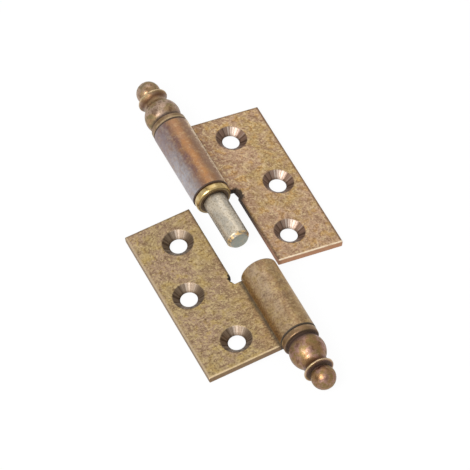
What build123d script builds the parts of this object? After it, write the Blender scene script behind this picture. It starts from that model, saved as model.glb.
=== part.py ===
from build123d import *
from math import acos, asin, atan2, cos, degrees, hypot, sin
import os

# Lift-off butt hinge with rolled knuckles and turned finials.
# It lies on its back, opened flat, with the socket half drawn off the pin along the axis.
# +Y runs along the pin axis towards the pin half's finial, +X towards the pin half's leaf, +Z up.
# The origin is on the floor under the pin axis, midway between the two finials.

# Driving dimensions of the leaves, in millimetres
hinge_length = 50.0
leaf_reach = 25.0            # from the pin axis to a leaf's outer edge
sheet_thickness = 1.8
face_setback = 0.4           # how far the screw face lies behind the pin axis
swage_radius = 1.5           # middle line of the bend between leaf and knuckle
roll_end_gap = 0.15          # between the free edge of the roll and the screw face
draw_apart = 24.7            # how far the socket half has been pulled off the pin
notch_edge = 6.75            # from the pin axis to the edge that clears the other knuckle
socket_end_play = 0.9        # how much shorter the socket half's knuckle is cut
pin_side_relief = 0.5        # depth of the small relief in the corner of the notch
socket_side_relief = 1.1
relief_length = 2.4
face_edge = 0.3              # bevel round the screw face

# Screw holes
screw_hole_diameter = 4.5
countersink_diameter = 8.2
countersink_angle = 95.0
outer_hole_reach = 13.8      # from the pin axis to the first and last hole
middle_hole_reach = 18.6     # from the pin axis to the middle hole
first_hole_margin = 7.6      # from the finial end of the leaf
middle_hole_offset = 0.5     # past the middle of the leaf
last_hole_margin = 8.2       # from the far end of the leaf

# Pin and bearing ring
pin_diameter = 6.2
running_clearance = 0.04     # radial, between the pin and the rolled bores
pin_reach = 14.7             # how far the pin stands out of the ring
pin_to_spigot = 2.0          # gap between pin and spigot inside the knuckle
pin_tip_length = 0.9         # length of the lead-in cone at the pin's free end
pin_tip_diameter = 4.7
ring_thickness = 2.1
ring_diameter = 9.6
ring_bore_clearance = 0.08   # radial, on the pin
ring_side_gap = 0.05         # on each side of the ring when the hinge is seated
ring_edge = 0.45
ring_bore_edge = 0.2

# Finial, measured from the end of the knuckle
flange_diameter = 9.7
flange_thickness = 1.8
flange_edge = 0.3            # bevel where the flange meets the knuckle
foot_diameter = 7.9          # of the short foot between flange and bulb
bulb_diameter = 9.5
bulb_reach = 5.1             # to the middle of the round bulb
neck_diameter = 6.8
collar_diameter = 8.0
collar_reach = 11.5
collar_lip = 0.4
ball_diameter = 6.4
ball_stand = 2.4             # from the collar's end face to the middle of the ball
spigot_length = 7.0

# Sizes that follow from those
pin_radius = pin_diameter / 2
bore_radius = pin_radius + running_clearance
knuckle_radius = bore_radius + sheet_thickness
roll_radius = bore_radius + sheet_thickness / 2
knuckle_gap = ring_thickness + 2 * ring_side_gap
knuckle_length = (hinge_length - knuckle_gap) / 2
face_level = -face_setback
back_level = face_level - sheet_thickness

# The bend touches the roll, so its centre lies one bend and one roll radius from the axis.
swage_level = (face_level + back_level) / 2 - swage_radius
swage_reach = ((roll_radius + swage_radius) ** 2 - swage_level**2) ** 0.5
swage_angle = degrees(atan2(swage_level, swage_reach))
roll_end_angle = -degrees(asin((face_setback - roll_end_gap) / knuckle_radius))
roll_sweep = 360 + swage_angle - roll_end_angle

# The bulb springs from its foot and the ball from the collar's end face.
flange_radius = flange_diameter / 2
bulb_radius = bulb_diameter / 2
collar_radius = collar_diameter / 2
ball_radius = ball_diameter / 2
bulb_foot_angle = 180 - degrees(asin(foot_diameter / bulb_diameter))
neck_angle = degrees(asin(neck_diameter / bulb_diameter))
ball_reach = collar_reach + ball_stand
ball_foot_angle = degrees(acos(-ball_stand / ball_radius))

# At rest the bottom of each knuckle and the outer back edge of its leaf touch the floor.
outer_corner = hypot(leaf_reach, back_level)
rest_tilt = asin(knuckle_radius / outer_corner) - atan2(-back_level, leaf_reach)
axis_level = knuckle_radius
pin_finial_end = (hinge_length + draw_apart) / 2
socket_finial_end = -pin_finial_end
ring_middle = pin_finial_end - hinge_length / 2

# Each half is drawn from its finial end: X out along the leaf, Y off the screw face and
# Z along the pin axis towards the other half.
pin_half = Plane(
    origin=(0, pin_finial_end, axis_level),
    x_dir=(cos(rest_tilt), 0, -sin(rest_tilt)),
    z_dir=(0, -1, 0),
)
socket_half = Plane(
    origin=(0, socket_finial_end, axis_level),
    x_dir=(-cos(rest_tilt), 0, -sin(rest_tilt)),
    z_dir=(0, 1, 0),
)


def screw_face_plane(half: Plane) -> Plane:
    """The screw face of a half's leaf: X out along the leaf, Y back to its finial end."""
    origin = half.from_local_coords(Vector(0, face_level, 0))
    return Plane(origin=origin, x_dir=half.x_dir, z_dir=half.y_dir)


def turning_plane(half: Plane) -> Plane:
    """A half's turning profile: X out of the knuckle's end along the axis, Y off the axis."""
    return Plane(origin=half.origin, x_dir=-half.z_dir, z_dir=half.x_dir)


def turning_axis(half: Plane) -> Axis:
    """The pin axis, pointing out of a half's finial end."""
    return Axis(half.origin, -half.z_dir)


os.makedirs("parts", exist_ok=True)

# The two leaves: one blank each, swaged and rolled into its knuckle
leaves = {
    "pin_side_leaf": (pin_half, knuckle_length, pin_side_relief),
    "socket_side_leaf": (socket_half, knuckle_length - socket_end_play, socket_side_relief),
}
for leaf_name, (half, shelf, relief_depth) in leaves.items():
    face = screw_face_plane(half)
    with BuildPart() as leaf:
        # Section of the bent sheet, from the flat through the swage and round the roll
        with BuildSketch(half):
            with BuildLine():
                swage_centre = (swage_reach, swage_level)
                swage_turn = 90 + swage_angle
                Line((leaf_reach, back_level), (leaf_reach, face_level))
                Line((leaf_reach, face_level), (swage_reach, face_level))
                CenterArc(swage_centre, swage_radius + sheet_thickness / 2, 90, swage_turn)
                inner_roll = CenterArc((0, 0), bore_radius, swage_angle, -roll_sweep)
                PolarLine(inner_roll @ 1, sheet_thickness, roll_end_angle)
                CenterArc((0, 0), knuckle_radius, roll_end_angle, roll_sweep)
                CenterArc(swage_centre, swage_radius - sheet_thickness / 2, 180 + swage_angle, -swage_turn)
                Line((swage_reach, back_level), (leaf_reach, back_level))
            make_face()
        extrude(amount=hinge_length)
        # The notch that clears the other knuckle, with the small relief in its corner
        with BuildSketch(face):
            with BuildLine():
                Polyline(
                    (-leaf_reach, -shelf),
                    (notch_edge, -shelf),
                    (notch_edge + relief_depth, -shelf - relief_length),
                    (notch_edge, -shelf - relief_length),
                    (notch_edge, -2 * hinge_length),
                    (-leaf_reach, -2 * hinge_length),
                    close=True,
                )
            make_face()
        extrude(amount=2 * hinge_length, both=True, mode=Mode.SUBTRACT)
        # The bevel runs round the screw face, except where the sheet bends into the knuckle
        flat = leaf.faces().filter_by(face).sort_by(Axis(face.origin, face.z_dir))[-1]
        chamfer(flat.edges().sort_by(Axis(face.origin, face.x_dir))[1:], length=face_edge)
        with Locations(face):
            with Locations(
                (outer_hole_reach, -first_hole_margin),
                (middle_hole_reach, -hinge_length / 2 - middle_hole_offset),
                (outer_hole_reach, last_hole_margin - hinge_length),
            ):
                CounterSinkHole(
                    radius=screw_hole_diameter / 2,
                    counter_sink_radius=countersink_diameter / 2,
                    counter_sink_angle=countersink_angle,
                )
    leaf.part.label = leaf_name
    export_step(leaf.part, f"parts/{leaf_name}.step")

# The two finials: turned in one piece with the spigot that closes the knuckle
finials = {"pin_side_finial": pin_half, "socket_side_finial": socket_half}
for finial_name, half in finials.items():
    with BuildPart() as finial:
        with BuildSketch(turning_plane(half)):
            with BuildLine():
                bulb_turn = neck_angle - bulb_foot_angle
                bulb = CenterArc((bulb_reach, 0), bulb_radius, bulb_foot_angle, bulb_turn)
                ball = CenterArc((ball_reach, 0), ball_radius, 0, ball_foot_angle)
                shank = Polyline(
                    (-spigot_length, 0),
                    (-spigot_length, pin_radius),
                    (0, pin_radius),
                    (0, flange_radius - flange_edge),
                    (flange_edge, flange_radius),
                    (flange_thickness, flange_radius),
                    (flange_thickness, foot_diameter / 2),
                    bulb @ 0,
                )
                Polyline(
                    bulb @ 1,
                    (collar_reach - collar_lip, collar_radius),
                    (collar_reach, collar_radius),
                    ball @ 1,
                )
                Line(ball @ 0, shank @ 0)
            make_face()
        revolve(axis=turning_axis(half))
    finial.part.label = finial_name
    export_step(finial.part, f"parts/{finial_name}.step")

# The bearing ring that the two knuckles turn on
ring_face = Plane(
    origin=(0, ring_middle + ring_thickness / 2, axis_level),
    x_dir=(1, 0, 0),
    z_dir=(0, -1, 0),
)
with BuildPart() as bearing_ring:
    with BuildSketch(ring_face):
        Circle(ring_diameter / 2)
        Circle(pin_radius + ring_bore_clearance, mode=Mode.SUBTRACT)
    extrude(amount=ring_thickness)
    rims = bearing_ring.edges().filter_by(GeomType.CIRCLE).group_by(SortBy.RADIUS)
    chamfer(rims[0], length=ring_bore_edge)
    rims = bearing_ring.edges().filter_by(GeomType.CIRCLE).group_by(SortBy.RADIUS)
    chamfer(rims[-1], length=ring_edge)
bearing_ring.part.label = "bearing_ring"
export_step(bearing_ring.part, "parts/bearing_ring.step")

# The pin, pressed into its knuckle, with a lead-in cone at its free end
pin_start = ring_middle - ring_thickness / 2 - pin_reach
pin_end = pin_finial_end - spigot_length - pin_to_spigot
pin_plane = Plane(origin=(0, 0, axis_level), x_dir=(0, 1, 0), z_dir=(1, 0, 0))
with BuildPart() as hinge_pin:
    with BuildSketch(pin_plane):
        with BuildLine():
            Polyline(
                (pin_start, 0),
                (pin_start, pin_tip_diameter / 2),
                (pin_start + pin_tip_length, pin_radius),
                (pin_end, pin_radius),
                (pin_end, 0),
                close=True,
            )
        make_face()
    revolve(axis=Axis((0, 0, axis_level), (0, 1, 0)))
hinge_pin.part.label = "hinge_pin"
export_step(hinge_pin.part, "parts/hinge_pin.step")
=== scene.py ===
"""The dressed model of a lift-off butt hinge with turned finials, its studio and its camera.

Sizes are in millimetres. A half of the hinge has its own frame: X out along its leaf, Y off
its screw face and Z along the pin axis from its finial end. Meshes are in the row frame.
"""
import logging
import math
from dataclasses import dataclass, field
from enum import Enum
from typing import Any, Sequence, Union

import bmesh
import bpy
from mathutils import Matrix, Vector


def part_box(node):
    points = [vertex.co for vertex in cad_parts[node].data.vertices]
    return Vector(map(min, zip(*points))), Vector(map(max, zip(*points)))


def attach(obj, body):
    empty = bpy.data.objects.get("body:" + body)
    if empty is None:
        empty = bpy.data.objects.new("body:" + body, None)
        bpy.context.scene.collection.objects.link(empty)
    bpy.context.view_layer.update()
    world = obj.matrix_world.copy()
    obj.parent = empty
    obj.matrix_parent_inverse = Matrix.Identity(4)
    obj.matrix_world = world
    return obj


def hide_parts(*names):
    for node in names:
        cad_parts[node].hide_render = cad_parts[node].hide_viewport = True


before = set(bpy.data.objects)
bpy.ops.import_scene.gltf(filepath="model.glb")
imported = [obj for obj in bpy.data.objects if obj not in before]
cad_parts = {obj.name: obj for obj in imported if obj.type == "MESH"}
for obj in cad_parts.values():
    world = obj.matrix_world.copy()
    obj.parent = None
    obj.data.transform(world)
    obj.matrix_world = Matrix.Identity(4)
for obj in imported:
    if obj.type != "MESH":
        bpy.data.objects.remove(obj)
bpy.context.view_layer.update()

log = logging.getLogger("hinge")

MM = 0.001

# The least angle between two faces, in degrees, that shows as an edge, and that a rounding takes.
SHARP_ANGLE = 35.0
ROUNDED_ANGLE = 32.0

# A turned profile's point that is nearer to the axis than this, in millimetres, is on it.
ON_AXIS = 1e-6

Point = tuple[float, float]
Span = tuple[float, float]
Colour = tuple[float, float, float, float]
Value = Union["Wire", float, int, Sequence[float]]
Stain = tuple[Colour, "Wire", Span, float]


def srgb(red: int, green: int, blue: int) -> Colour:
    """A display colour as the linear colour that a shader takes.

    Args:
        red: The red channel, from 0 to 255.
        green: The green channel.
        blue: The blue channel.

    Returns:
        The linear colour, by the curve of the sRGB standard.
    """

    def linear(channel: int) -> float:
        """One channel's linear value."""
        part = channel / 255
        return part / 12.92 if part <= 0.04045 else ((part + 0.055) / 1.055) ** 2.4

    return (linear(red), linear(green), linear(blue), 1.0)


# Shaders


class Wire:
    """A node's output that takes part in Python arithmetic."""

    def __init__(self, shader: "Shader", socket: bpy.types.NodeSocket) -> None:
        """Wraps one output of a shader's node."""
        self.shader = shader
        self.socket = socket

    def __add__(self, other: Value) -> "Wire":
        """The sum."""
        return self.shader.math("ADD", self, other)

    def __sub__(self, other: Value) -> "Wire":
        """The difference."""
        return self.shader.math("SUBTRACT", self, other)

    def __rsub__(self, other: Value) -> "Wire":
        """The difference from a number."""
        return self.shader.math("SUBTRACT", other, self)

    def __mul__(self, other: Value) -> "Wire":
        """The product."""
        return self.shader.math("MULTIPLY", self, other)

    def __abs__(self) -> "Wire":
        """The distance from zero."""
        return self.shader.math("ABSOLUTE", self)

    __radd__ = __add__
    __rmul__ = __mul__


class Shader:
    """A material's node tree, built by expressions on wires."""

    # How far dirt and painted shade dull the metal and roughen it.
    DIRT_AND_SHADE_DULLS = 0.85
    DIRT_AND_SHADE_ROUGHENS = 0.3

    def __init__(self, name: str) -> None:
        """Starts an empty node tree.

        Args:
            name: The material's name.
        """
        self.material = bpy.data.materials.new(name)
        self.material.use_nodes = True
        self.tree = self.material.node_tree
        self.tree.nodes.clear()

    def add(
        self,
        kind: str,
        settings: dict[str, Any] | None = None,
        inputs: dict[str | int, Value] | None = None,
    ) -> bpy.types.Node:
        """Adds one node.

        Args:
            kind: The node's type.
            settings: Its properties, set before its sockets.
            inputs: A value or a wire for each socket, by name or by number.

        Returns:
            The node.
        """
        made = self.tree.nodes.new(kind)
        for key, value in (settings or {}).items():
            setattr(made, key, value)
        for key, value in (inputs or {}).items():
            if isinstance(value, Wire):
                self.tree.links.new(value.socket, made.inputs[key])
            else:
                made.inputs[key].default_value = value
        return made

    def node(
        self,
        kind: str,
        settings: dict[str, Any] | None = None,
        inputs: dict[str | int, Value] | None = None,
        output: str | int = 0,
    ) -> Wire:
        """Adds one node, as add does, and gives the wire from one of its outputs."""
        return Wire(self, self.add(kind, settings, inputs).outputs[output])

    def math(self, operation: str, *values: Value) -> Wire:
        """A Math node on one, two or three values."""
        return self.node("ShaderNodeMath", {"operation": operation}, dict(enumerate(values)))

    def most(self, first: Wire, *others: Value) -> Wire:
        """The highest of some values.

        Args:
            first: One of them.
            others: The rest.

        Returns:
            The wire of the highest.
        """
        for other in others:
            first = self.math("MAXIMUM", first, other)
        return first

    def vector(self, operation: str, first: Value, second: Value | None = None) -> Wire:
        """Adds a Vector Math node that gives a vector.

        Args:
            operation: What it does.
            first: The vector.
            second: Another vector, or the scale of SCALE.

        Returns:
            The wire of the new vector.
        """
        inputs = {0: first}
        if second is not None:
            inputs["Scale" if operation == "SCALE" else 1] = second
        return self.node("ShaderNodeVectorMath", {"operation": operation}, inputs)

    def along(self, vector: Wire, direction: Sequence[float]) -> Wire:
        """How far a vector goes in a direction."""
        inputs = {0: vector, 1: tuple(direction)}
        return self.node("ShaderNodeVectorMath", {"operation": "DOT_PRODUCT"}, inputs, "Value")

    def length(self, vector: Wire) -> Wire:
        """A vector's length."""
        return self.node("ShaderNodeVectorMath", {"operation": "LENGTH"}, {0: vector}, "Value")

    def joined(self, x: Value, y: Value, z: Value) -> Wire:
        """A vector of three values."""
        return self.node("ShaderNodeCombineXYZ", None, {0: x, 1: y, 2: z})

    def noise(self, vector: Wire, scale: float, detail: float = 2.0, rough: float = 0.5) -> Wire:
        """Smooth noise about 0.5; the scale is in features per millimetre."""
        inputs = {"Vector": vector, "Scale": scale, "Detail": detail, "Roughness": rough}
        return self.node("ShaderNodeTexNoise", None, inputs)

    def ramp(
        self, value: Value, low: float, high: float, start: float = 0.0, end: float = 1.0
    ) -> Wire:
        """A smooth change over a span of a value.

        Args:
            value: The value.
            low: Where the span starts.
            high: Where it ends.
            start: What the ramp gives below the span.
            end: What it gives above the span.

        Returns:
            The ramp's wire.
        """
        settings = {"interpolation_type": "SMOOTHSTEP"}
        inputs = {0: value, 1: low, 2: high, 3: start, 4: end}
        return self.node("ShaderNodeMapRange", settings, inputs)

    def past(self, value: Value, edge: float, span: Span) -> Wire:
        """How far a value is past an edge, rising over a span that is counted from the edge."""
        return self.ramp(value, edge + span[0], edge + span[1])

    def band(self, value: Wire, middle: float, width: float) -> Wire:
        """1 at the middle of a band, falling smoothly to 0 at half its width on each side."""
        return 1 - self.ramp(abs(value - middle), 0.0, width / 2)

    def mix(self, under: Value, over: Value, factor: Value) -> Wire:
        """One colour laid over another."""
        return self.node("ShaderNodeMix", {"data_type": "RGBA"}, {0: factor, 6: under, 7: over}, 2)

    def stained(self, colour: Value, stains: Sequence[Stain], share: Value = 1.0) -> Wire:
        """Lays stains over a colour, one after another.

        Args:
            colour: The colour under them.
            stains: Each one's colour, the wire it follows, the span it comes in over, its strength.
            share: The share of them that shows.

        Returns:
            The stained colour.
        """
        for over, wire, span, strength in stains:
            colour = self.mix(colour, over, self.ramp(wire, *span) * share * strength)
        return colour

    def place(self) -> Wire:
        """The point on the piece as it lies at rest, in millimetres."""
        return self.vector("SCALE", self.node("ShaderNodeTexCoord", output="Object"), 1 / MM)

    def facing(self, direction: Sequence[float]) -> Wire:
        """How squarely the surface faces a direction, from -1 to 1."""
        return self.along(self.node("ShaderNodeTexCoord", output="Normal"), direction)

    def metal(
        self, colour: Wire, roughness: Wire, dirt_and_shade: Value, height: Wire, relief: float
    ) -> bpy.types.Material:
        """Ends the tree in a metal surface with dirt and painted shade on it.

        Args:
            colour: The colour of the metal and its dirt.
            roughness: The roughness of the metal.
            dirt_and_shade: How far dirt and painted light and shade hide the metal, from 0 to 1.
            height: The height of its fine relief, from 0 to 1.
            relief: What a height of 1 stands for, in millimetres.

        Returns:
            The finished material.
        """
        bump = self.node("ShaderNodeBump", None, {"Distance": relief * MM, "Height": height})
        inputs = {
            "Base Color": colour,
            "Metallic": 1 - dirt_and_shade * self.DIRT_AND_SHADE_DULLS,
            "Roughness": roughness + dirt_and_shade * self.DIRT_AND_SHADE_ROUGHENS,
            "Normal": bump,
        }
        return self.ended(self.node("ShaderNodeBsdfPrincipled", None, inputs))

    def ended(self, surface: Wire) -> bpy.types.Material:
        """Ends the tree in a surface and gives the finished material."""
        self.add("ShaderNodeOutputMaterial", None, {"Surface": surface})
        return self.material


# Profiles


def arc(centre: Point, radius: float, start: float, sweep: float, step: float = 4.0) -> list[Point]:
    """Points along a circular arc, both ends included.

    Args:
        centre: The arc's centre.
        radius: Its radius.
        start: The angle of its first point, in degrees.
        sweep: How far it turns, in degrees, negative for clockwise.
        step: The most that it turns between two points, in degrees.

    Returns:
        The points in order.
    """
    count = max(1, math.ceil(abs(sweep) / step))
    angles = [math.radians(start + sweep * i / count) for i in range(count + 1)]
    return [(centre[0] + radius * math.cos(a), centre[1] + radius * math.sin(a)) for a in angles]


def rounded(corners: Sequence[tuple[float, float, float]], pieces: int = 5) -> list[Point]:
    """An open outline with its corners rounded.

    Args:
        corners: Each corner's two coordinates and its rounding radius, 0 where it is sharp.
        pieces: The number of chords in each rounding.

    Returns:
        The outline's points in order.
    """
    points: list[Point] = []
    for i, (x, y, radius) in enumerate(corners):
        if radius == 0 or i in (0, len(corners) - 1):
            points.append((x, y))
            continue
        corner = Vector((x, y))
        back = (Vector(corners[i - 1][:2]) - corner).normalized()
        ahead = (Vector(corners[i + 1][:2]) - corner).normalized()
        half_angle = back.angle(ahead) / 2
        middle = corner + (back + ahead).normalized() * (radius / math.sin(half_angle))
        first = corner + back * (radius / math.tan(half_angle)) - middle
        last = corner + ahead * (radius / math.tan(half_angle)) - middle
        for k in range(pieces + 1):
            points.append(tuple(middle + first.slerp(last, k / pieces).normalized() * radius))
    return points


def meeting(first: Point, first_radius: float, second: Point, second_radius: float) -> Point:
    """Where two circles cross, on the side further from the pin axis.

    Args:
        first: The first circle's centre.
        first_radius: Its radius.
        second: The second circle's centre.
        second_radius: Its radius.

    Returns:
        The crossing with the larger second coordinate.
    """
    start, end = Vector(first), Vector(second)
    gap = (end - start).length
    run = (first_radius**2 - second_radius**2 + gap**2) / (2 * gap)
    rise = math.sqrt(first_radius**2 - run**2)
    way = (end - start) / gap
    return tuple(start + way * run + Vector((-way.y, way.x)) * rise)


def bearing(centre: Point, point: Point) -> float:
    """The direction from a centre to a point, in degrees."""
    return math.degrees(math.atan2(point[1] - centre[1], point[0] - centre[0]))


# Meshes


def solid(name: str, mesh: bmesh.types.BMesh, place: Matrix) -> bpy.types.Object:
    """Makes an object of a mesh.

    Args:
        name: The object's name.
        mesh: The mesh, in millimetres; it is freed.
        place: Takes its points to the row frame.

    Returns:
        The object, in the scene.
    """
    bmesh.ops.recalc_face_normals(mesh, faces=mesh.faces)
    mesh.transform(place)
    data = bpy.data.meshes.new(name)
    mesh.to_mesh(data)
    mesh.free()
    data.shade_smooth()
    data.set_sharp_from_angle(angle=math.radians(SHARP_ANGLE))
    piece = bpy.data.objects.new(name, data)
    bpy.context.scene.collection.objects.link(piece)
    return piece


def prism(outline: Sequence[Point], low: float, high: float, axis: int) -> bmesh.types.BMesh:
    """A prism on an outline.

    Args:
        outline: The outline's points, on the two axes left over, in order.
        low: Where the prism starts on its axis.
        high: Where it ends.
        axis: Its axis, 0 for X, 1 for Y and 2 for Z.

    Returns:
        The prism's mesh.
    """
    mesh = bmesh.new()
    ends = []
    for level in (low, high):
        rows = [list(point) for point in outline]
        for row in rows:
            row.insert(axis, level)
        ends.append([mesh.verts.new(row) for row in rows])
        mesh.faces.new(ends[-1])
    for i in range(len(outline)):
        mesh.faces.new((ends[0][i - 1], ends[0][i], ends[1][i], ends[1][i - 1]))
    return mesh


def turning(profile: Sequence[Point], segments: int, closed: bool = False) -> bmesh.types.BMesh:
    """A profile turned about the Z axis.

    Args:
        profile: The profile's points, along the axis and off it, in order.
        segments: The number of faces round the axis.
        closed: Whether the last point joins the first.

    Returns:
        The turned mesh.
    """
    mesh = bmesh.new()
    rings: list[list[bmesh.types.BMVert]] = []
    for along, off in profile:
        if off < ON_AXIS:
            rings.append([mesh.verts.new((0, 0, along))])
            continue
        turns = [2 * math.pi * i / segments for i in range(segments)]
        rings.append([mesh.verts.new((off * math.cos(t), off * math.sin(t), along)) for t in turns])
    pairs = list(zip(rings, rings[1:])) + ([(rings[-1], rings[0])] if closed else [])
    for near, far in pairs:
        for i in range(segments):
            start = near if len(near) == 1 else [near[i - 1], near[i]]
            end = far if len(far) == 1 else [far[i], far[i - 1]]
            mesh.faces.new(start + end)
    return mesh


def applied(piece: bpy.types.Object) -> None:
    """Applies all of a piece's modifiers.

    Args:
        piece: The piece, which gets the mesh that they make.
    """
    graph = bpy.context.evaluated_depsgraph_get()
    data = bpy.data.meshes.new_from_object(piece.evaluated_get(graph), depsgraph=graph)
    piece.modifiers.clear()
    piece.data = data


def cut(piece: bpy.types.Object, *tools: bpy.types.Object) -> None:
    """Cuts tools out of a piece.

    Args:
        piece: The piece.
        tools: The tools, which are removed from the scene afterwards.
    """
    for tool in tools:
        carve = piece.modifiers.new("cut", "BOOLEAN")
        carve.operation = "DIFFERENCE"
        carve.solver = "EXACT"
        carve.object = tool
    applied(piece)
    for tool in tools:
        bpy.data.objects.remove(tool)


def break_edges(piece: bpy.types.Object, width: float) -> None:
    """Rounds a piece's sharp edges.

    Args:
        piece: The piece.
        width: How wide the rounding is, in millimetres.
    """
    bevel = piece.modifiers.new("edges", "BEVEL")
    bevel.width = width * MM
    bevel.segments = 3
    bevel.limit_method = "ANGLE"
    bevel.angle_limit = math.radians(ROUNDED_ANGLE)
    applied(piece)


# The hinge


class Slot(Enum):
    """The record's material slots."""

    LEAF = "leaf_brass"
    FINIAL = "finial_brass"
    RING = "ring_brass"
    PIN = "pin_steel"


@dataclass(frozen=True)
class HingeSizes:
    """The sizes that the hinge's parts share, in millimetres.

    Attributes:
        axis_level: The pin axis's height as the hinge lies.
        knuckle_radius: The knuckles' outside radius.
        hinge_length: The leaves' length along the pin axis.
        leaf_reach: A leaf's outer edge, off the pin axis.
        sheet: The sheet's thickness.
        setback: How far the screw faces lie below the pin axis.
        pin_radius: The pin's radius.
        ring_play: The play between a closed knuckle and the ring.
        socket_shortfall: How much shorter the socket half's knuckle is.
    """

    axis_level: float
    knuckle_radius: float
    hinge_length: float
    leaf_reach: float = 25.0
    sheet: float = 1.8
    setback: float = 0.4
    pin_radius: float = 3.1
    ring_play: float = 0.05
    socket_shortfall: float = 0.9

    @property
    def bore_radius(self) -> float:
        """The inside radius of the knuckles."""
        return self.knuckle_radius - self.sheet

    @property
    def back(self) -> float:
        """The level of the leaves' backs."""
        return -self.setback - self.sheet

    @property
    def lean(self) -> float:
        """How far each leaf leans from level as the hinge lies, in radians."""
        corner = math.hypot(self.leaf_reach, self.back)
        return math.asin(self.knuckle_radius / corner) - math.atan2(-self.back, self.leaf_reach)


@dataclass(frozen=True)
class Half:
    """One half of the hinge as it lies.

    Attributes:
        body: The CAD body that carries it.
        side: What its nodes' names start with.
        outward: 1 where its leaf points along the row's X, and -1 where against it.
        end: Where its finial end lies on the row's Y.
        sizes: The hinge's sizes.
    """

    body: str
    side: str
    outward: int
    end: float
    sizes: HingeSizes

    @property
    def out(self) -> Vector:
        """The direction out along the leaf."""
        return Vector((self.outward * math.cos(self.sizes.lean), 0, -math.sin(self.sizes.lean)))

    @property
    def up(self) -> Vector:
        """The direction off the screw face."""
        return Vector((self.outward * math.sin(self.sizes.lean), 0, math.cos(self.sizes.lean)))

    @property
    def inward(self) -> Vector:
        """The direction along the pin axis from the finial end."""
        return Vector((0, -self.outward, 0))

    @property
    def origin(self) -> Vector:
        """The point on the pin axis at the finial end."""
        return Vector((0, self.end, self.sizes.axis_level))

    def matrix(self) -> Matrix:
        """Takes millimetres in the half's frame to metres in the row frame."""
        turn = Matrix((self.out, self.up, self.inward)).transposed().to_4x4()
        return Matrix.Scale(MM, 4) @ Matrix.Translation(self.origin) @ turn


class LeafSurface:
    """Where a shaded point lies on its leaf, how it faces, and the noises there.

    The knuckle's finish ends in the crease, within a millimetre of the roll. KNUCKLE_END and
    LEAF_START are counted out from the roll, END_RIM from an end of the leaf, and the spans of
    facing are of how squarely a surface faces off the screw face or along the pin axis.
    """

    KNUCKLE_END: Span = (-0.2, 0.6)
    LEAF_START: Span = (0.3, 0.6)
    END_RIM: Span = (0.3, 0.65)
    FACING_UP: Span = (0.5, 0.6)
    FACING_ANY_SIDE: Span = (0.35, 0.6)
    FACING_BACK: Span = (-0.6, -0.3)
    FACING_ALONG: Span = (0.5, 0.9)

    def __init__(self, s: Shader, leaf: "Leaf") -> None:
        """Sets up the wires.

        Args:
            s: The shader.
            leaf: The leaf that is shaded.
        """
        self.s, self.leaf = s, leaf
        half, radius = leaf.half, leaf.sizes.knuckle_radius
        ways = (half.out, half.up, half.inward)
        place = s.place()
        local = s.vector("SUBTRACT", place, tuple(half.origin))
        self.out, self.up, self.inward = (s.along(local, way) for way in ways)
        self.faces_out, self.faces_up, self.faces_inward = (s.facing(way) for way in ways)

        self.broad = s.noise(place, 0.13, 2.0)
        self.patch = s.noise(place, 0.42, 3.0, 0.6)
        self.mottle = s.noise(place, 0.85, 2.0, 0.6)
        self.grain = s.noise(place, 1.7, 3.0, 0.75)
        self.speck = s.noise(place, 2.6, 2.0)

        self.knuckle = 1 - s.past(self.out, radius, self.KNUCKLE_END)
        self.flat = s.past(self.out, radius, self.LEAF_START)
        self.top = s.ramp(self.faces_up, *self.FACING_UP) * self.flat
        self.not_back = s.ramp(self.faces_up, *self.FACING_BACK)
        self.ends = s.ramp(abs(self.faces_inward), *self.FACING_ALONG)
        wall = 1 - s.ramp(abs(self.faces_up), *self.FACING_ANY_SIDE)
        self.side = s.most(wall * self.flat, self.ends)

    def rim(self, level: float) -> Wire:
        """The strip of the screw face along one end, at its distance from the finial end."""
        return self.top * (1 - self.s.ramp(abs(self.inward - level), *self.END_RIM))


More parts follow.
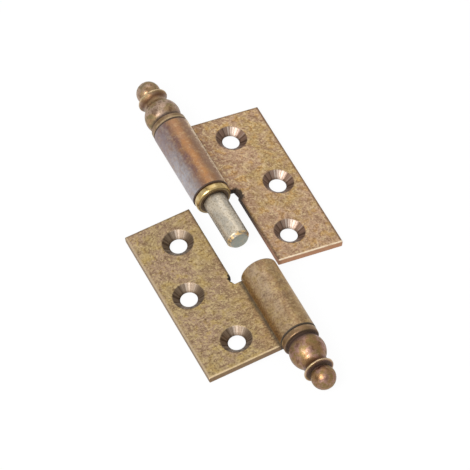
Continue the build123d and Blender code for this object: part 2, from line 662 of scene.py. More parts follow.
@dataclass(frozen=True)
class LeafFinish:
    """Aged brass sheet: speckled, clouded, browner in its cut faces, with painted light and shade.

    Attributes:
        gold: The sheet's main colour, which changes broadly to rose.
        brown: The dark patches, mottles and grain; fleck and amber are the light ones.
        shade: The painted shade beside the knuckle and over the knuckle, under its other bands.
        crown: The painted sheen along the knuckle's top; the stain colour is the darker band beside
            it and the painted shade at the free side's finial end; outer is the painted reflection
            on its free side.
        wall: The cut faces.
        outer_edge: The line along the screw face's outer edge: a painted highlight on the olive
            sheet, a darker line on the tan one.
        hole: The countersinks, with painted glint and painted shade streaks.
        lip: How bright the painted highlight along the roll's limb is, above the crease.
        smooth: The share of the specks that the knuckle lacks.
        seam: How dirty the knuckle's inner end is.
        glint_end: The end of the leaf whose screw face rim is smoother and gets a painted
            highlight, from the finial end.
        nick_shadow: How far the painted shadow round the nick reaches.
        painted_glint: How bright the painted glint on one wall of each countersink is.
        bright: The painted highlights on that rim and along the roll's limb.
        black: The painted shadow in the notch, the painted shade in the crease and the dark joints.
        relief: The depth of the grain, in millimetres.
        limb_highlight_facing: The direction, out and up, of the roll's limb that gets the painted
            highlight.
        glint_wall_side: The side, in the row's X and Y, of each countersink's wall with the painted
            glint.
        shade_reach: Where the shade beside the knuckle ends, out from the pin axis.
        shade_fade: Where it fades, from the finial end.
        sheen_start: Where the painted sheen on the knuckle's top comes in, from the finial end.
        outer_fade: Where the painted shade at the free side's finial end fades out, from the finial
            end.
        notch_rim: The darker rim beside the notch, from its edge.
        shelf_rim: The start of that rim, from the shelf.
        outer_rim: The rim of the leaf's outer edge, from the edge.
        web: The inner end of the painted shadow on the shelf, from the roll.
        nick_end: The outer end of the painted shadow on the shelf, from the nick's corner.
        shelf_shadow: Where the painted shadow in the notch starts, from the shelf.
        seam_line: The dirty line at the knuckle's inner end, from that end.
        seam_depth: How far off the pin axis it starts, from the roll's outside.
        end_line: The dirty line at the finial end, from that end.
        crease_line: The painted shade's reach from the crease.
        hole_rim: The countersink's rim, from its radius.
        hole_depth: The depth at which its shades start.
        hole_foot: The depth at which it darkens toward its throat.
    """

    gold: Colour
    rose: Colour
    brown: Colour
    fleck: Colour
    amber: Colour
    shade: Colour
    crown: Colour
    stain_and_shade: Colour
    outer: Colour
    wall: Colour
    outer_edge: Colour
    hole: Colour
    lip: float
    smooth: float
    seam: float
    glint_end: float
    nick_shadow: float
    painted_glint: float
    bright: Colour = srgb(250, 230, 200)
    soot_and_shade: Colour = srgb(62, 45, 32)
    black: Colour = srgb(30, 23, 17)
    glint: Colour = srgb(226, 212, 198)
    relief: float = 0.02
    limb_highlight_facing: Span = (0.9, 0.43)
    glint_wall_side: Span = (0.43, 0.9)
    shade_reach: Span = (4.5, 12.5)
    shade_fade: Span = (12.0, 32.0)
    sheen_start: Span = (3.0, 11.0)
    outer_fade: Span = (3.0, 17.0)
    notch_rim: Span = (0.2, 0.8)
    shelf_rim: Span = (0.0, 0.3)
    outer_rim: Span = (-0.8, -0.3)
    web: Span = (-1.0, -0.4)
    nick_end: Span = (0.0, 0.5)
    shelf_shadow: Span = (-0.5, 0.0)
    seam_line: Span = (-0.45, -0.2)
    seam_depth: Span = (-0.4, -0.2)
    end_line: Span = (0.25, 0.5)
    crease_line: Span = (0.1, 1.2)
    hole_rim: Span = (0.0, 0.3)
    hole_depth: Span = (-0.02, 0.14)
    hole_foot: Span = (1.1, 1.75)

    def dress(self, leaf: "Leaf") -> bpy.types.Material:
        """Makes the finish for one leaf.

        Args:
            leaf: The leaf, whose frame and holes the finish follows.

        Returns:
            The material.
        """
        s = Shader(f"{leaf.half.side}_leaf_brass")
        at = LeafSurface(s, leaf)
        cloud = at.broad + at.patch
        colour = s.mix(self.gold, self.rose, s.ramp(cloud, 0.86, 1.12))
        # Painted shade beside the knuckle, patchy and weaker away from the finial end.
        near = (1 - s.ramp(at.out, *self.shade_reach)) * s.ramp(cloud, 0.7, 1.1, 0.4, 1.0)
        near = near * s.ramp(at.inward, *self.shade_fade, 1.0, 0.6)
        colour = s.mix(colour, self.shade, near)
        colour = self.knuckle_shades(at, colour)
        colour = self.speckled(at, colour)

        # A painted highlight on the screw face's rim at one end.
        rub_and_glint = at.rim(self.glint_end)
        painted_shadow = self.notch_shadow(at)
        line = self.limb_highlight(at)
        dirt_and_shade = self.crease_shade_and_dirt(at)
        colour = self.edged(at, colour, rub_and_glint)
        # Painted shadow in the notch.
        colour = s.mix(colour, self.black, painted_shadow * 0.95)
        # Painted highlight along the roll's limb.
        colour = s.mix(colour, self.bright, line)
        # Painted shade in the crease, and dirt at the knuckle's ends.
        colour = s.mix(colour, self.black, dirt_and_shade * 0.9)
        for hole in leaf.holes:
            colour = self.hole_shades(at, colour, hole)

        roughness = 0.42 + at.grain * 0.2 - rub_and_glint * 0.12 - at.knuckle * 0.08
        dull = s.most(dirt_and_shade, painted_shadow * 0.6, line * 0.6)
        return s.metal(colour, roughness, dull, at.grain + at.mottle * 0.8, self.relief)

    def knuckle_shades(self, at: LeafSurface, colour: Wire) -> Wire:
        """Lays painted shade, sheen and reflection round the knuckle over the colour.

        Args:
            at: The leaf's surface.
            colour: The sheet's colour.

        Returns:
            The stained colour.
        """
        s, leaf, radius = at.s, at.leaf, at.leaf.sizes.knuckle_radius
        knuckle = 1 - s.ramp(at.out, radius - 0.1, radius + 0.3)
        streak = s.noise(s.joined(at.out * 0.4, at.inward * 0.13, at.up * 0.4), 1.0, 4.0, 0.65)
        cloud = s.noise(s.joined(at.out * 0.7, at.inward * 0.35, at.up * 0.7), 1.0, 3.0, 0.6)
        wander = (streak - 0.5) * 6.0
        crown = s.band(at.out + wander, leaf.crown_line, 6.0) * s.ramp(at.up, 0.0, 2.0)
        crown = crown * s.ramp(at.inward, *self.sheen_start, 0.6, 1.0) * knuckle
        beside = s.band(at.out + wander, leaf.crown_line - 2.2, 3.4) * knuckle
        outer = s.ramp(0 - at.out - wander * 0.5, radius * 0.5, radius * 0.9) * knuckle
        # Painted shade over the knuckle, a painted sheen along its top with a darker band beside
        # it, and a painted reflection on its free side, with painted shade toward the finial end.
        colour = s.mix(colour, self.shade, knuckle * 0.6)
        colour = s.mix(colour, self.crown, crown * s.ramp(cloud, 0.35, 0.55, 0.5, 0.95))
        colour = s.mix(colour, self.stain_and_shade, beside * s.ramp(1 - cloud, 0.42, 0.6, 0.35, 0.95))
        colour = s.mix(colour, self.outer, outer * s.ramp(cloud, 0.35, 0.55, 0.6, 1.0))
        return s.mix(colour, self.stain_and_shade, outer * s.ramp(at.inward, *self.outer_fade, 0.6, 0.0))

    def speckled(self, at: LeafSurface, colour: Wire) -> Wire:
        """Lays the sheet's patches, mottles, grain and specks over the colour.

        Args:
            at: The leaf's surface.
            colour: The colour under them.

        Returns:
            The speckled colour.
        """
        stains = (
            (self.brown, at.patch, (0.5, 0.66), 0.6),
            (self.amber, 1 - at.patch, (0.5, 0.66), 0.55),
            (self.brown, 1 - at.mottle, (0.52, 0.66), 0.5),
            (self.fleck, at.mottle, (0.54, 0.66), 0.55),
            (self.brown, 1 - at.grain, (0.52, 0.68), 0.8),
            (self.fleck, at.grain, (0.53, 0.69), 0.75),
            (self.soot_and_shade, at.speck, (0.58, 0.72), 0.5),
        )
        return at.s.stained(colour, stains, 1 - at.knuckle * self.smooth)

    def edged(self, at: LeafSurface, colour: Wire, rub_and_glint: Wire) -> Wire:
        """Lays the brown of the cut faces and the rims of the screw face over the colour, one rim
        with a painted highlight.

        Args:
            at: The leaf's surface.
            colour: The sheet's colour.
            rub_and_glint: Where the screw face's rim at one end is smoother and gets a painted
                highlight.

        Returns:
            The colour with its edges.
        """
        s, leaf = at.s, at.leaf
        reach, notch, shelf = leaf.sizes.leaf_reach, leaf.notch_edge, leaf.knuckle_length
        beside_notch = 1 - s.past(at.out, notch, self.notch_rim)
        beside_notch = beside_notch * s.past(at.inward, shelf, self.shelf_rim)
        outermost = s.past(at.out, reach, self.outer_rim)
        dull_rim = at.rim(leaf.sizes.hinge_length - self.glint_end)
        colour = s.mix(colour, self.wall, at.side * 0.85)
        colour = s.mix(colour, self.soot_and_shade, at.top * beside_notch * 0.55)
        # The outer edge's line: a painted highlight on the olive sheet, darker on the tan one.
        colour = s.mix(colour, self.outer_edge, at.top * outermost * 0.8)
        # A painted highlight on the screw face's rim at one end; the rim at the other end is
        # darker.
        colour = s.mix(colour, self.bright, rub_and_glint * s.ramp(at.patch, 0.3, 0.55, 0.5, 0.9))
        return s.mix(colour, self.soot_and_shade, dull_rim * 0.35)

    def notch_shadow(self, at: LeafSurface) -> Wire:
        """The painted shadow that blackens the notch's wall, its shelf and round its nick.

        Args:
            at: The leaf's surface.

        Returns:
            How far it covers the brass, from 0 to 1.
        """
        s, leaf = at.s, at.leaf
        radius, length = leaf.sizes.knuckle_radius, leaf.sizes.hinge_length
        shelf, corner = leaf.knuckle_length, leaf.notch_edge + leaf.relief_depth
        # Painted shadow on the notch's wall and shelf, fading along the notch, and round the nick.
        notch_side = s.ramp(-1 * at.faces_out, 0.3, 0.7) * at.side
        web = s.past(at.out, radius, self.web) * (1 - s.past(at.out, corner, self.nick_end))
        painted_shadow = s.most(notch_side, at.ends * web) * s.past(at.inward, shelf, self.shelf_shadow)
        painted_shadow = painted_shadow * s.ramp(at.inward, shelf + 6.0, length, 1.0, 0.2)
        past_corner = at.out - (leaf.notch_edge + 0.2)
        past_shelf = at.inward - (shelf + leaf.relief_length * 0.8)
        away = s.length(s.joined(past_corner, past_shelf * 0.6, 0.0)) + (at.mottle - 0.5) * 1.6
        nick_shadow = (1 - s.ramp(away, self.nick_shadow * 0.6, self.nick_shadow)) * at.not_back
        return s.most(painted_shadow, nick_shadow * 0.95)

    def limb_highlight(self, at: LeafSurface) -> Wire:
        """The painted highlight along the roll's limb, above the crease.

        Args:
            at: The leaf's surface.

        Returns:
            How bright it is, from 0 to 1.
        """
        s, radius = at.s, at.leaf.sizes.knuckle_radius
        outward, upward = self.limb_highlight_facing
        # Painted highlight along the roll's limb, where it turns from view.
        flank = at.out * outward + at.up * upward + (at.mottle + at.grain - 1) * 0.9
        return s.ramp(flank, radius * 0.87, radius) * s.ramp(at.up, 0.4, 1.6) * self.lip

    def crease_shade_and_dirt(self, at: LeafSurface) -> Wire:
        """The painted shade in the crease beside the roll's free edge, and the dirt round the
        knuckle's two ends.

        Args:
            at: The leaf's surface.

        Returns:
            How far it covers the brass, from 0 to 1.
        """
        s, leaf = at.s, at.leaf
        radius, inner = leaf.sizes.knuckle_radius, leaf.knuckle_length
        # Painted shade within reach of the crease; dirt in the joints at the knuckle's two ends.
        crease = s.length(s.joined(at.out - radius, at.up + leaf.sizes.setback, 0.0))
        off = s.length(s.joined(at.out, at.up, 0.0))
        seam = s.past(at.inward, inner, self.seam_line) * s.past(off, radius, self.seam_depth)
        rims = s.most(1 - s.ramp(at.inward, *self.end_line), seam * self.seam) * at.knuckle
        return s.most((1 - s.ramp(crease, *self.crease_line)) * 0.8, rims)

    def hole_shades(self, at: LeafSurface, colour: Wire, hole: Point) -> Wire:
        """Lays one turned screw hole's colour, with painted glints and shade, over the sheet's
        colour.

        Args:
            at: The leaf's surface.
            colour: The sheet's colour.
            hole: The hole's place on the leaf, out and along.

        Returns:
            The colour with that hole.
        """
        s, leaf = at.s, at.leaf
        radial = s.joined(at.out - hole[0], at.inward - hole[1], 0.0)
        depth = 0 - at.up - leaf.sizes.setback
        inside = 1 - s.past(s.length(radial), leaf.countersink_radius, self.hole_rim)
        inside = inside * s.ramp(depth, *self.hole_depth)
        way = s.vector("NORMALIZE", radial)
        # Painted glint and shade streaks round the cone, a painted glint on one wall, and darker
        # toward the throat.
        spoke = s.noise(way, 3.2, 3.0, 0.6)
        fine = s.noise(way, 9.0, 2.0, 0.6)
        outward, (across, along) = leaf.half.outward, self.glint_wall_side
        painted_glint = s.ramp(s.along(way, (across * outward, -along * outward, 0.0)), 0.74, 0.98)
        shade = s.mix(self.hole, self.glint, s.ramp(spoke, 0.56, 0.72) * 0.45)
        shade = s.mix(shade, self.soot_and_shade, s.ramp(1 - spoke, 0.46, 0.62) * (0.7 - painted_glint * 0.3))
        shade = s.mix(shade, self.glint, painted_glint * s.ramp(fine, 0.47, 0.57, 0.15, 1.0) * self.painted_glint)
        shade = s.mix(shade, self.soot_and_shade, s.ramp(depth, *self.hole_foot) * 0.6)
        return s.mix(colour, shade, inside * at.not_back)


TAN_SHEET = LeafFinish(
    gold=srgb(187, 160, 112),
    rose=srgb(192, 160, 132),
    brown=srgb(138, 106, 78),
    fleck=srgb(222, 198, 156),
    amber=srgb(206, 160, 98),
    shade=srgb(154, 122, 102),
    crown=srgb(172, 124, 82),
    stain_and_shade=srgb(128, 98, 96),
    outer=srgb(178, 175, 180),
    wall=srgb(176, 128, 98),
    outer_edge=srgb(124, 96, 74),
    hole=srgb(138, 112, 96),
    lip=0.8,
    smooth=0.75,
    seam=1.0,
    glint_end=50.0,
    nick_shadow=1.5,
    painted_glint=0.5,
)

OLIVE_SHEET = LeafFinish(
    gold=srgb(170, 148, 108),
    rose=srgb(168, 142, 118),
    brown=srgb(122, 97, 72),
    fleck=srgb(202, 180, 135),
    amber=srgb(186, 158, 96),
    shade=srgb(170, 138, 98),
    crown=srgb(194, 168, 140),
    stain_and_shade=srgb(150, 122, 94),
    outer=srgb(190, 158, 110),
    wall=srgb(134, 108, 82),
    outer_edge=srgb(192, 172, 144),
    hole=srgb(124, 106, 88),
    lip=0.0,
    smooth=0.3,
    seam=0.3,
    glint_end=0.0,
    nick_shadow=1.0,
    painted_glint=0.25,
    bright=srgb(218, 194, 156),
)


@dataclass(frozen=True)
class Leaf:
    """A leaf with its knuckle, rolled from one blank.

    Attributes:
        half: The half of the hinge that it belongs to.
        sizes: The hinge's sizes.
        knuckle_length: The knuckle's length, from the finial end to the notch's shelf.
        finish: The finish of its brass.
        relief_depth: How far the nick in the notch's corner reaches into the leaf.
        crown_line: How far out the painted sheen on the knuckle's top lies.
        relief_length: The nick's length along the leaf.
        notch_edge: The notch's edge, off the pin axis.
        swage: The radius of the bend into the roll, at the sheet's middle.
        roll_gap: The gap between the roll's free edge and the screw face's level.
        edge: The width of the rounded edges.
        rim_round: The radius of the countersinks' rims.
    """

    half: Half
    sizes: HingeSizes
    knuckle_length: float
    finish: LeafFinish
    relief_depth: float
    crown_line: float
    relief_length: float = 2.4
    notch_edge: float = 6.75
    swage: float = 1.5
    roll_gap: float = 0.15
    edge: float = 0.3
    countersink_radius: float = 4.1
    hole_radius: float = 2.25
    countersink_angle: float = 95.0
    rim_round: float = 0.7
    rim_overrun: float = 10.0
    drill_flare: float = 0.5
    drill_rise: float = 0.1
    drill_segments: int = 96
    outer_hole_reach: float = 13.8
    middle_hole_reach: float = 18.6
    first_hole: float = 7.6
    middle_hole_offset: float = 0.5
    last_hole_margin: float = 8.2

    @property
    def holes(self) -> tuple[Point, Point, Point]:
        """The screw holes.

        Returns:
            Each one's place on the leaf, out and along.
        """
        middle = self.sizes.hinge_length / 2 + self.middle_hole_offset
        last = self.sizes.hinge_length - self.last_hole_margin
        return (
            (self.outer_hole_reach, self.first_hole),
            (self.middle_hole_reach, middle),
            (self.outer_hole_reach, last),
        )

    def section(self) -> list[Point]:
        """The outline of the bent sheet, across the pin axis.

        Returns:
            The outline's points in order, out and up.
        """
        sizes = self.sizes
        face, back = -sizes.setback, sizes.back
        level = (face + back) / 2 - self.swage
        roll = (sizes.bore_radius + sizes.knuckle_radius) / 2
        reach = math.sqrt((roll + self.swage) ** 2 - level**2)
        touch = math.degrees(math.atan2(level, reach))
        free = -math.degrees(math.asin((sizes.setback - self.roll_gap) / sizes.knuckle_radius))
        sweep = 360 + touch - free
        outer = arc((reach, level), self.swage + sizes.sheet / 2, 90, 90 + touch)
        inner = arc((reach, level), self.swage - sizes.sheet / 2, 180 + touch, -90 - touch)
        bore = arc((0, 0), sizes.bore_radius, touch, -sweep)
        roll_side = arc((0, 0), sizes.knuckle_radius, free, sweep)
        flat = [(sizes.leaf_reach, back), (sizes.leaf_reach, face)]
        return flat + outer + bore[1:] + roll_side + inner[1:]

    def notch(self) -> bmesh.types.BMesh:
        """The block cut away so that the other knuckle fits, with the nick in its corner.

        Returns:
            The block's mesh.
        """
        shelf, nick = self.knuckle_length, self.knuckle_length + self.relief_length
        far, side = 2 * self.sizes.hinge_length, -self.sizes.leaf_reach
        outline = [
            (side, shelf),
            (self.notch_edge, shelf),
            (self.notch_edge + self.relief_depth, nick),
            (self.notch_edge, nick),
            (self.notch_edge, far),
            (side, far),
        ]
        return prism(outline, -self.sizes.leaf_reach, self.sizes.leaf_reach, 1)

    def drill(self) -> list[Point]:
        """The profile of the countersink drill, along its axis and off it, round at the rim.

        Returns:
            The profile's points in order.
        """
        face, bottom = -self.sizes.setback, -self.sizes.leaf_reach / 2
        half_angle = math.radians(self.countersink_angle / 2)
        depth = (self.countersink_radius - self.hole_radius) / math.tan(half_angle)
        turn = 90 - self.countersink_angle / 2
        reach = self.countersink_radius + self.rim_round * math.tan(math.radians(turn / 2))
        centre = (face - self.rim_round, reach)
        return [
            (bottom, 0.0),
            (bottom, self.hole_radius),
            (face - depth, self.hole_radius),
            *arc(centre, self.rim_round, -turn, turn - self.rim_overrun, 8.0),
            (face + self.drill_rise, reach + self.drill_flare),
            (face + self.drill_rise, 0.0),
        ]

    def build(self) -> None:
        """Makes the leaf, in place of its CAD node."""
        node = f"{self.half.side}_leaf"
        place = self.half.matrix()
        blank = prism(self.section(), 0, self.sizes.hinge_length, 2)
        piece = solid(f"{node}_dressed", blank, place)
        cut(piece, solid("notch", self.notch(), place))
        break_edges(piece, self.edge)
        drills = []
        for out, along in self.holes:
            stand = Matrix.Translation((out, 0, along)) @ Matrix.Rotation(-math.pi / 2, 4, "X")
            drill = turning(self.drill(), self.drill_segments)
            drills.append(solid("drill", drill, place @ stand))
        cut(piece, *drills)
        piece.data.set_sharp_from_angle(angle=math.radians(SHARP_ANGLE))
        weigh = piece.modifiers.new("normals", "WEIGHTED_NORMAL")
        weigh.keep_sharp = True
        applied(piece)
        piece.data.materials.clear()
        piece.data.materials.append(self.finish.dress(self))
        seat(piece, self.half.body, node)


@dataclass(frozen=True)
class FinialFinish:
    """Aged turned brass: brown with mauve and olive clouds, with painted highlights on its rims.

    The collar's cone is umber, the flange has its own brown, and the soot colour serves for the
    dirt and the painted shade.
    """

    brown: Colour = srgb(166, 136, 102)
    mauve: Colour = srgb(180, 154, 134)
    olive: Colour = srgb(134, 120, 86)
    umber: Colour = srgb(98, 66, 46)
    bright: Colour = srgb(226, 202, 160)
    soot_and_shade: Colour = srgb(54, 35, 24)
    flange: Colour = srgb(138, 112, 80)
    relief: float = 0.01

    def dress(self, finial: "Finial") -> bpy.types.Material:
        """Makes the finish for one finial.

        Args:
            finial: The finial, whose profile the finish follows.

        Returns:
            The material.
        """
        half, collar = finial.half, finial.collar_reach
        s = Shader(f"{half.side}_finial_brass")
        place = s.place()
        local = s.vector("SUBTRACT", place, tuple(half.origin))
        reach = s.along(local, -half.inward)
        off = s.length(s.joined(s.along(local, half.out), s.along(local, half.up), 0.0))

        patch = s.noise(place, 0.34, 2.0)
        cloud = s.noise(place, 0.6, 3.0, 0.6)
        grain = s.noise(place, 2.6, 3.0, 0.65)
        turned = s.noise(s.joined(reach * 6.0, off * 2.0, 0.0), 1.0, 2.0, 0.7)
        stains = (
            (self.mauve, patch, (0.42, 0.58), 1.0),
            (self.olive, cloud, (0.5, 0.62), 0.8),
            (self.umber, 1 - cloud, (0.52, 0.66), 0.6),
            (self.bright, grain, (0.56, 0.74), 0.3),
            (self.soot_and_shade, 1 - grain, (0.54, 0.7), 0.3),
            (self.soot_and_shade, turned, (0.56, 0.7), 0.22),
        )
        colour = s.stained(self.brown, stains)
        colour = s.mix(colour, self.umber, s.band(reach, collar - 1.4, 2.8) * 0.85)
        thickness, radius = finial.flange_thickness, finial.flange_radius
        on_flange = 1 - s.ramp(reach, thickness, thickness + 0.2)
        colour = s.mix(colour, self.flange, on_flange * 0.7)

        # Rims are smoother and get painted highlights; dirt and painted shade darken beside the
        # flange, at the knuckle and round the ball's foot.
        rim = s.ramp(off, finial.collar_radius - 0.4, finial.collar_radius - 0.1)
        rim = rim * s.band(reach, collar - 0.2, 0.8)
        flange_rim = s.ramp(off, radius - 0.3, radius - 0.1) * s.band(reach, 0.45, 0.9)
        painted_glint = rim * 0.7 + flange_rim * s.ramp(cloud, 0.4, 0.6) * 0.5
        colour = s.mix(colour, self.bright, painted_glint)
        dirt_and_shade: Value = 0.0
        for middle, width, lowest in finial.dirt_and_shade:
            near = 1 - s.ramp(off, lowest, lowest + 0.5)
            dirt_and_shade = s.most(s.band(reach, middle, width) * near, dirt_and_shade)
        colour = s.mix(colour, self.soot_and_shade, dirt_and_shade)
        roughness = 0.37 + s.ramp(cloud, 0.4, 0.6) * 0.16 - rim * 0.1
        return s.metal(colour, roughness, dirt_and_shade, turned + grain * 0.6, self.relief)


CHESTNUT_BRASS = FinialFinish(
    brown=srgb(150, 116, 80),
    mauve=srgb(164, 128, 114),
    olive=srgb(136, 114, 70),
)


@dataclass(frozen=True)
class Finial:
    """A finial, turned in one piece with the spigot that closes its knuckle.

    A reach is counted from the knuckle's end, along the pin axis. The cove is the hollow between
    the bulb and the collar, and foot_dirt_and_shade is the width of the dirt and painted shade
    at the bulb's foot.
    """

    half: Half
    sizes: HingeSizes
    spigot_length: float = 7.0
    spigot_round: float = 0.3
    flange_radius: float = 4.85
    flange_thickness: float = 1.8
    flange_round: float = 0.3
    foot_radius: float = 3.95
    bulb_radius: float = 4.75
    bulb_reach: float = 5.1
    cove_radius: float = 2.2
    collar_radius: float = 4.0
    collar_reach: float = 11.5
    collar_lip: float = 0.4
    collar_round: float = 0.12
    ball_radius: float = 3.2
    ball_reach: float = 13.9
    foot_dirt_and_shade: float = 2.6
    segments: int = 144
    finish: FinialFinish = field(default_factory=FinialFinish)

    @property
    def dirt_and_shade(self) -> tuple[tuple[float, float, float], ...]:
        """Where dirt and painted shade lie: the reach, the width along the axis and how far off it.
        """
        return (
            (self.flange_thickness + 0.5, self.foot_dirt_and_shade, self.flange_radius - 0.4),
            (self.collar_reach + 0.2, 1.6, self.collar_radius - 0.7),
            (0.0, 1.0, self.flange_radius),
        )

    def profile(self) -> list[Point]:
        """The turned profile, along the axis out of the knuckle and off it.

        Returns:
            The profile's points in order.
        """
        lip = (self.collar_reach - self.collar_lip, self.collar_radius)
        bulb = (self.bulb_reach, 0.0)
        cove = meeting(bulb, self.bulb_radius + self.cove_radius, lip, self.cove_radius)
        foot = 180 - math.degrees(math.asin(self.foot_radius / self.bulb_radius))
        neck = bearing(bulb, cove)
        stand = self.ball_reach - self.collar_reach
        ball_foot = math.degrees(math.acos(-stand / self.ball_radius))
        bulb_points = arc(bulb, self.bulb_radius, foot, neck - foot)
        cove_points = arc(cove, self.cove_radius, neck - 180, bearing(cove, lip) - neck + 180)
        ball_points = arc((self.ball_reach, 0.0), self.ball_radius, ball_foot, -ball_foot)
        shank = rounded(
            [
                (-self.spigot_length, 0.0, 0.0),
                (-self.spigot_length, self.sizes.pin_radius, self.spigot_round),
                (0.0, self.sizes.pin_radius, 0.0),
                (0.0, self.flange_radius, self.flange_round),
                (self.flange_thickness, self.flange_radius, self.flange_round),
                (self.flange_thickness, self.foot_radius, 0.0),
                (*bulb_points[0], 0.0),
            ]
        )
        rim = rounded(
            [
                (*lip, 0.0),
                (self.collar_reach, self.collar_radius, self.collar_round),
                (*ball_points[0], 0.0),
            ]
        )
        return shank[:-1] + bulb_points + cove_points[1:-1] + rim[:-1] + ball_points

    def build(self) -> None:
        """Makes the finial, in place of its CAD node."""
        node = f"{self.half.side}_finial"
        points = [(-reach, off) for reach, off in self.profile()]
        piece = solid(f"{node}_dressed", turning(points, self.segments), self.half.matrix())
        piece.data.materials.append(self.finish.dress(self))
        seat(piece, self.half.body, node)


@dataclass(frozen=True)
class RingFinish:
    """Yellow brass, brighter on its rim, with painted shade on its two faces that thins toward the
    rim.
    """

    yellow: Colour = srgb(196, 168, 112)
    pale: Colour = srgb(224, 202, 154)
    brown: Colour = srgb(56, 34, 14)
    relief: float = 0.008

    def dress(self, ring: "Ring") -> bpy.types.Material:
        """Makes the finish of the ring.

        Args:
            ring: The ring, whose place the finish follows.

        Returns:
            The material.
        """
        s = Shader("ring_brass")
        place = s.place()
        cloud = s.noise(place, 0.8, 3.0, 0.6)
        grain = s.noise(place, 3.0, 2.0)
        across = s.along(place, (1, 0, 0))
        above = s.along(place, (0, 0, 1)) - ring.sizes.axis_level
        off = s.length(s.joined(across, above, 0.0))
        stains = (
            (self.pale, cloud, (0.48, 0.66), 0.7),
            (self.brown, 1 - cloud, (0.54, 0.7), 0.5),
        )
        colour = s.stained(self.yellow, stains)
        # Painted shade on the ring's two faces, thinner near the rounded rim.
        side = s.ramp(abs(s.facing((0, 1, 0))), 0.7, 0.95)
        painted_glint = s.band(off, ring.radius - ring.edge, 0.6)
        dirt_and_shade = side * (1 - painted_glint * 0.5)
        colour = s.mix(colour, self.brown, dirt_and_shade * 0.95)
        return s.metal(colour, 0.28 + grain * 0.16, dirt_and_shade * 0.8, grain, self.relief)


@dataclass(frozen=True)
class Ring:
    """The loose bearing ring on the pin.

    Attributes:
        sizes: The hinge's sizes.
        half: The half whose frame it is made in.
        middle: Its middle, on the row's Y.
        thickness: Its length along the pin axis.
        radius: Its outside radius.
        bore_clearance: The gap between its bore and the pin.
        edge: The radius of its outer edges.
        bore_edge: The radius of its bore's edges.
        segments: The number of faces round it.
        finish: The finish of its brass.
    """

    sizes: HingeSizes
    half: Half
    middle: float
    thickness: float
    radius: float
    bore_clearance: float = 0.08
    edge: float = 0.62
    bore_edge: float = 0.22
    segments: int = 144
    finish: RingFinish = field(default_factory=RingFinish)

    @property
    def bore_radius(self) -> float:
        """The radius of the ring's bore."""
        return self.sizes.pin_radius + self.bore_clearance

    def build(self) -> None:
        """Makes the ring, in place of its CAD node."""
        middle = abs(self.half.end - self.middle)
        near, far = middle - self.thickness / 2, middle + self.thickness / 2
        outline = rounded(
            [
                (middle, self.bore_radius, 0.0),
                (far, self.bore_radius, self.bore_edge),
                (far, self.radius, self.edge),
                (near, self.radius, self.edge),
                (near, self.bore_radius, self.bore_edge),
                (middle, self.bore_radius, 0.0),
            ]
        )
        mesh = turning(outline[:-1], self.segments, closed=True)
        piece = solid("bearing_ring_dressed", mesh, self.half.matrix())
        piece.data.materials.append(self.finish.dress(self))
        seat(piece, "ring", "bearing_ring")


@dataclass(frozen=True)
class PinFinish:
    """Dull grey-beige steel, with painted gold glints and painted shade on its bevel, painted shade
    on its flanks and a painted shadow at the ring.
    """

    beige: Colour = srgb(214, 202, 182)
    grey: Colour = srgb(192, 184, 170)
    stain_and_shade: Colour = srgb(150, 134, 106)
    rub_and_glint: Colour = srgb(226, 190, 128)
    tip: Colour = srgb(146, 150, 140)
    soot_and_shade: Colour = srgb(70, 56, 42)
    relief: float = 0.012
    flank_facing: tuple[float, float, float] = (0.94, 0.0, 0.34)

    def dress(self, pin: "Pin") -> bpy.types.Material:
        """Makes the finish of the pin.

        Args:
            pin: The pin, whose place the finish follows.

        Returns:
            The material.
        """
        s = Shader("pin_steel")
        place = s.place()
        x, y, z = (s.along(place, way) for way in ((1, 0, 0), (0, 1, 0), (0, 0, 1)))
        streak = s.noise(s.joined(x * 0.9, y * 0.22, z * 0.9), 1.0, 3.0, 0.6)
        grain = s.noise(place, 2.2, 3.0, 0.65)
        speck = s.noise(place, 1.5, 2.0)
        reach = y - pin.start
        stains = (
            (self.grey, streak, (0.42, 0.62), 1.0),
            (self.stain_and_shade, grain, (0.48, 0.68), 0.7),
            (self.soot_and_shade, speck, (0.64, 0.76), 0.35),
        )
        colour = s.stained(self.beige, stains)
        # Painted gold glints and painted shade on the bevel.
        cone = s.band(reach, 0.5, 1.4)
        colour = s.mix(colour, self.soot_and_shade, cone * s.ramp(1 - speck, 0.4, 0.56) * 0.6)
        colour = s.mix(colour, self.rub_and_glint, cone * s.ramp(speck, 0.44, 0.56))
        # Painted shade along the pin's two flanks.
        flank = s.ramp(abs(s.facing(self.flank_facing)) + (grain - 0.5) * 0.5, 0.76, 1.0)
        colour = s.mix(colour, self.soot_and_shade, flank * 0.75)
        tip = (1 - s.ramp(reach, 0.02, 0.12)) * (1 - s.ramp(grain, 0.42, 0.62) * 0.45)
        colour = s.mix(colour, self.tip, tip)
        # Painted shadow where the pin meets the ring.
        colour = s.mix(colour, self.soot_and_shade, s.ramp(reach, pin.stand - 0.5, pin.stand) * 0.7)
        return s.metal(colour, 0.36 + grain * 0.18, flank * 0.6, grain, self.relief)


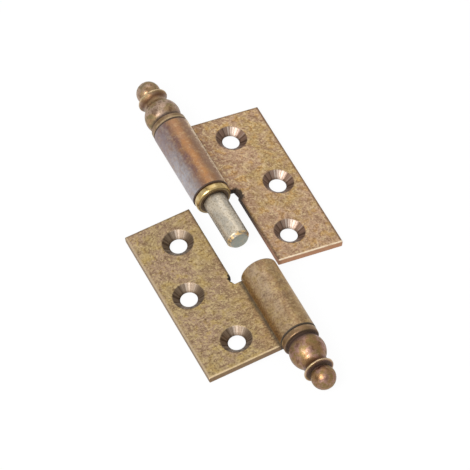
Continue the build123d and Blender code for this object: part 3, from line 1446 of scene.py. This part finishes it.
@dataclass(frozen=True)
class Pin:
    """The pin, held in the pin half's knuckle.

    Attributes:
        sizes: The hinge's sizes.
        half: The half that holds it.
        start: Its free end, on the row's Y.
        end: Its hidden end, on the row's Y.
        stand: How far it stands bare of the ring.
        cone_length: The length of the cone at its free end.
        tip_radius: The radius of the cone's end face.
        segments: The number of faces round it.
        finish: The finish of its steel.
    """

    sizes: HingeSizes
    half: Half
    start: float
    end: float
    stand: float
    cone_length: float = 0.9
    cone_round: float = 0.5
    tip_radius: float = 2.35
    tip_round: float = 0.3
    head_round: float = 0.1
    segments: int = 128
    finish: PinFinish = field(default_factory=PinFinish)

    def build(self) -> None:
        """Makes the pin, in place of its CAD node."""
        tip, head = self.half.end - self.start, self.half.end - self.end
        radius = self.sizes.pin_radius
        outline = rounded(
            [
                (head, 0.0, 0.0),
                (head, radius, self.head_round),
                (tip - self.cone_length, radius, self.cone_round),
                (tip, self.tip_radius, self.tip_round),
                (tip, 0.0, 0.0),
            ]
        )
        piece = solid("hinge_pin_dressed", turning(outline, self.segments), self.half.matrix())
        piece.data.materials.append(self.finish.dress(self))
        seat(piece, self.half.body, "hinge_pin")


def seat(piece: bpy.types.Object, body: str, node: str) -> None:
    """Puts a dressed piece on its body, in place of its CAD node.

    Args:
        piece: The piece.
        body: The CAD body that carries it.
        node: The CAD node that it stands for.
    """
    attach(piece, body)
    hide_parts(node)
    faces = sum(len(face.vertices) - 2 for face in piece.data.polygons)
    log.info("%s on %s: %d triangles", piece.name, body, faces)


# The studio


@dataclass(frozen=True)
class Lamp:
    """A square soft lamp that points at the hinge, in metres and watts."""

    name: str
    place: tuple[float, float, float]
    side: float
    power: float

    def build(self) -> None:
        """Makes the lamp."""
        data = bpy.data.lights.new(self.name, "AREA")
        data.shape = "SQUARE"
        data.size = self.side
        data.energy = self.power
        lamp = bpy.data.objects.new(self.name, data)
        lamp.location = self.place
        lamp.rotation_euler = (-Vector(self.place)).to_track_quat("-Z", "Y").to_euler()
        bpy.context.scene.collection.objects.link(lamp)


@dataclass(frozen=True)
class Studio:
    """The pale floor, the soft lamps and the camera; lengths are in metres."""

    floor_size: float = 3.0
    floor_paper: Colour = (0.9, 0.9, 0.9, 1.0)
    floor_glow: float = 0.95
    white: Colour = (1.0, 1.0, 1.0, 1.0)
    world_level: float = 0.7
    lamps: tuple[Lamp, ...] = (
        Lamp("key_lamp", (-0.5, -0.34, 0.64), 0.4, 7.0),
        Lamp("back_lamp", (0.2, 0.5, 0.7), 0.5, 0.8),
    )
    azimuth: float = -25.72
    elevation: float = 51.31
    distance: float = 1.1238
    lens: float = 338.1
    sensor: float = 36.0
    furthest: float = 10.0
    aim: tuple[float, float, float] = (0.0, 0.0, 0.003)
    aim_right: float = 0.0003
    aim_up: float = 0.0004

    def floor(self) -> None:
        """Makes the floor, white to the camera and in reflections, with a faint shadow."""
        mesh = bmesh.new()
        bmesh.ops.create_grid(mesh, x_segments=1, y_segments=1, size=self.floor_size / 2 / MM)
        piece = solid("floor", mesh, Matrix.Scale(MM, 4))
        s = Shader("floor_white")
        rays = ("Is Camera Ray", "Is Glossy Ray", "Is Transmission Ray")
        camera, glossy, through = (s.node("ShaderNodeLightPath", output=ray) for ray in rays)
        seen = s.math("MINIMUM", camera + glossy + through, 1.0)
        paper = s.node("ShaderNodeBsdfDiffuse", None, {"Color": self.floor_paper})
        glow = s.node("ShaderNodeEmission", None, {"Color": self.white, "Strength": 1.0})
        inputs = {0: seen * self.floor_glow, 1: paper, 2: glow}
        piece.data.materials.append(s.ended(s.node("ShaderNodeMixShader", None, inputs)))

    def sky(self) -> None:
        """Sets the even light from all round."""
        world = bpy.data.worlds.new("studio")
        bpy.context.scene.world = world
        world.use_nodes = True
        back = world.node_tree.nodes["Background"]
        back.inputs["Color"].default_value = self.white
        back.inputs["Strength"].default_value = self.world_level

    def camera(self) -> None:
        """Makes the camera, at the photograph's viewing angle."""
        turn, rise = math.radians(self.azimuth), math.radians(self.elevation)
        level = math.cos(rise)
        away = Vector((math.sin(turn) * level, -math.cos(turn) * level, math.sin(rise)))
        right = Vector((math.cos(turn), math.sin(turn), 0.0))
        aim = Vector(self.aim) + right * self.aim_right + away.cross(right) * self.aim_up
        data = bpy.data.cameras.new("camera")
        data.lens = self.lens
        data.sensor_width = self.sensor
        data.clip_end = self.furthest
        camera = bpy.data.objects.new("camera", data)
        camera.location = aim + away * self.distance
        camera.rotation_euler = away.to_track_quat("Z", "Y").to_euler()
        bpy.context.scene.collection.objects.link(camera)
        bpy.context.scene.camera = camera

    def build(self) -> None:
        """Sets up the floor, the light and the camera."""
        self.floor()
        self.sky()
        for lamp in self.lamps:
            lamp.build()
        self.camera()
        bpy.context.scene.view_settings.view_transform = "Standard"


def millimetres(node: str) -> tuple[Vector, Vector]:
    """A CAD node's lowest and highest corners, in millimetres."""
    low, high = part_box(node)
    return Vector(low) / MM, Vector(high) / MM


def main() -> None:
    """Builds the hinge and its studio."""
    logging.basicConfig(level=logging.INFO, format="%(name)s: %(message)s")
    leaf_low, leaf_high = millimetres("pin_side_leaf")
    ring_low, ring_high = millimetres("bearing_ring")
    pin_low, pin_high = millimetres("hinge_pin")
    axis_level = (ring_low.z + ring_high.z) / 2
    sizes = HingeSizes(axis_level, leaf_high.z - axis_level, leaf_high.y - leaf_low.y)
    socket_end = millimetres("socket_side_leaf")[0].y
    pin_half = Half("pin_half", "pin_side", 1, leaf_high.y, sizes)
    socket_half = Half("socket_half", "socket_side", -1, socket_end, sizes)

    long_knuckle = leaf_high.y - ring_high.y - sizes.ring_play
    short_knuckle = long_knuckle - sizes.socket_shortfall
    ring_middle, ring_thickness = (ring_low.y + ring_high.y) / 2, ring_high.y - ring_low.y
    ring_radius = ring_high.z - axis_level
    bared = ring_low.y - pin_low.y

    Leaf(pin_half, sizes, long_knuckle, TAN_SHEET, relief_depth=0.5, crown_line=-0.6).build()
    Leaf(socket_half, sizes, short_knuckle, OLIVE_SHEET, relief_depth=1.1, crown_line=1.6).build()
    Finial(pin_half, sizes).build()
    Finial(socket_half, sizes, foot_dirt_and_shade=3.8, finish=CHESTNUT_BRASS).build()
    Ring(sizes, pin_half, ring_middle, ring_thickness, ring_radius).build()
    Pin(sizes, pin_half, pin_low.y, pin_high.y, stand=bared).build()
    Studio().build()


if __name__ == "__main__":
    main()
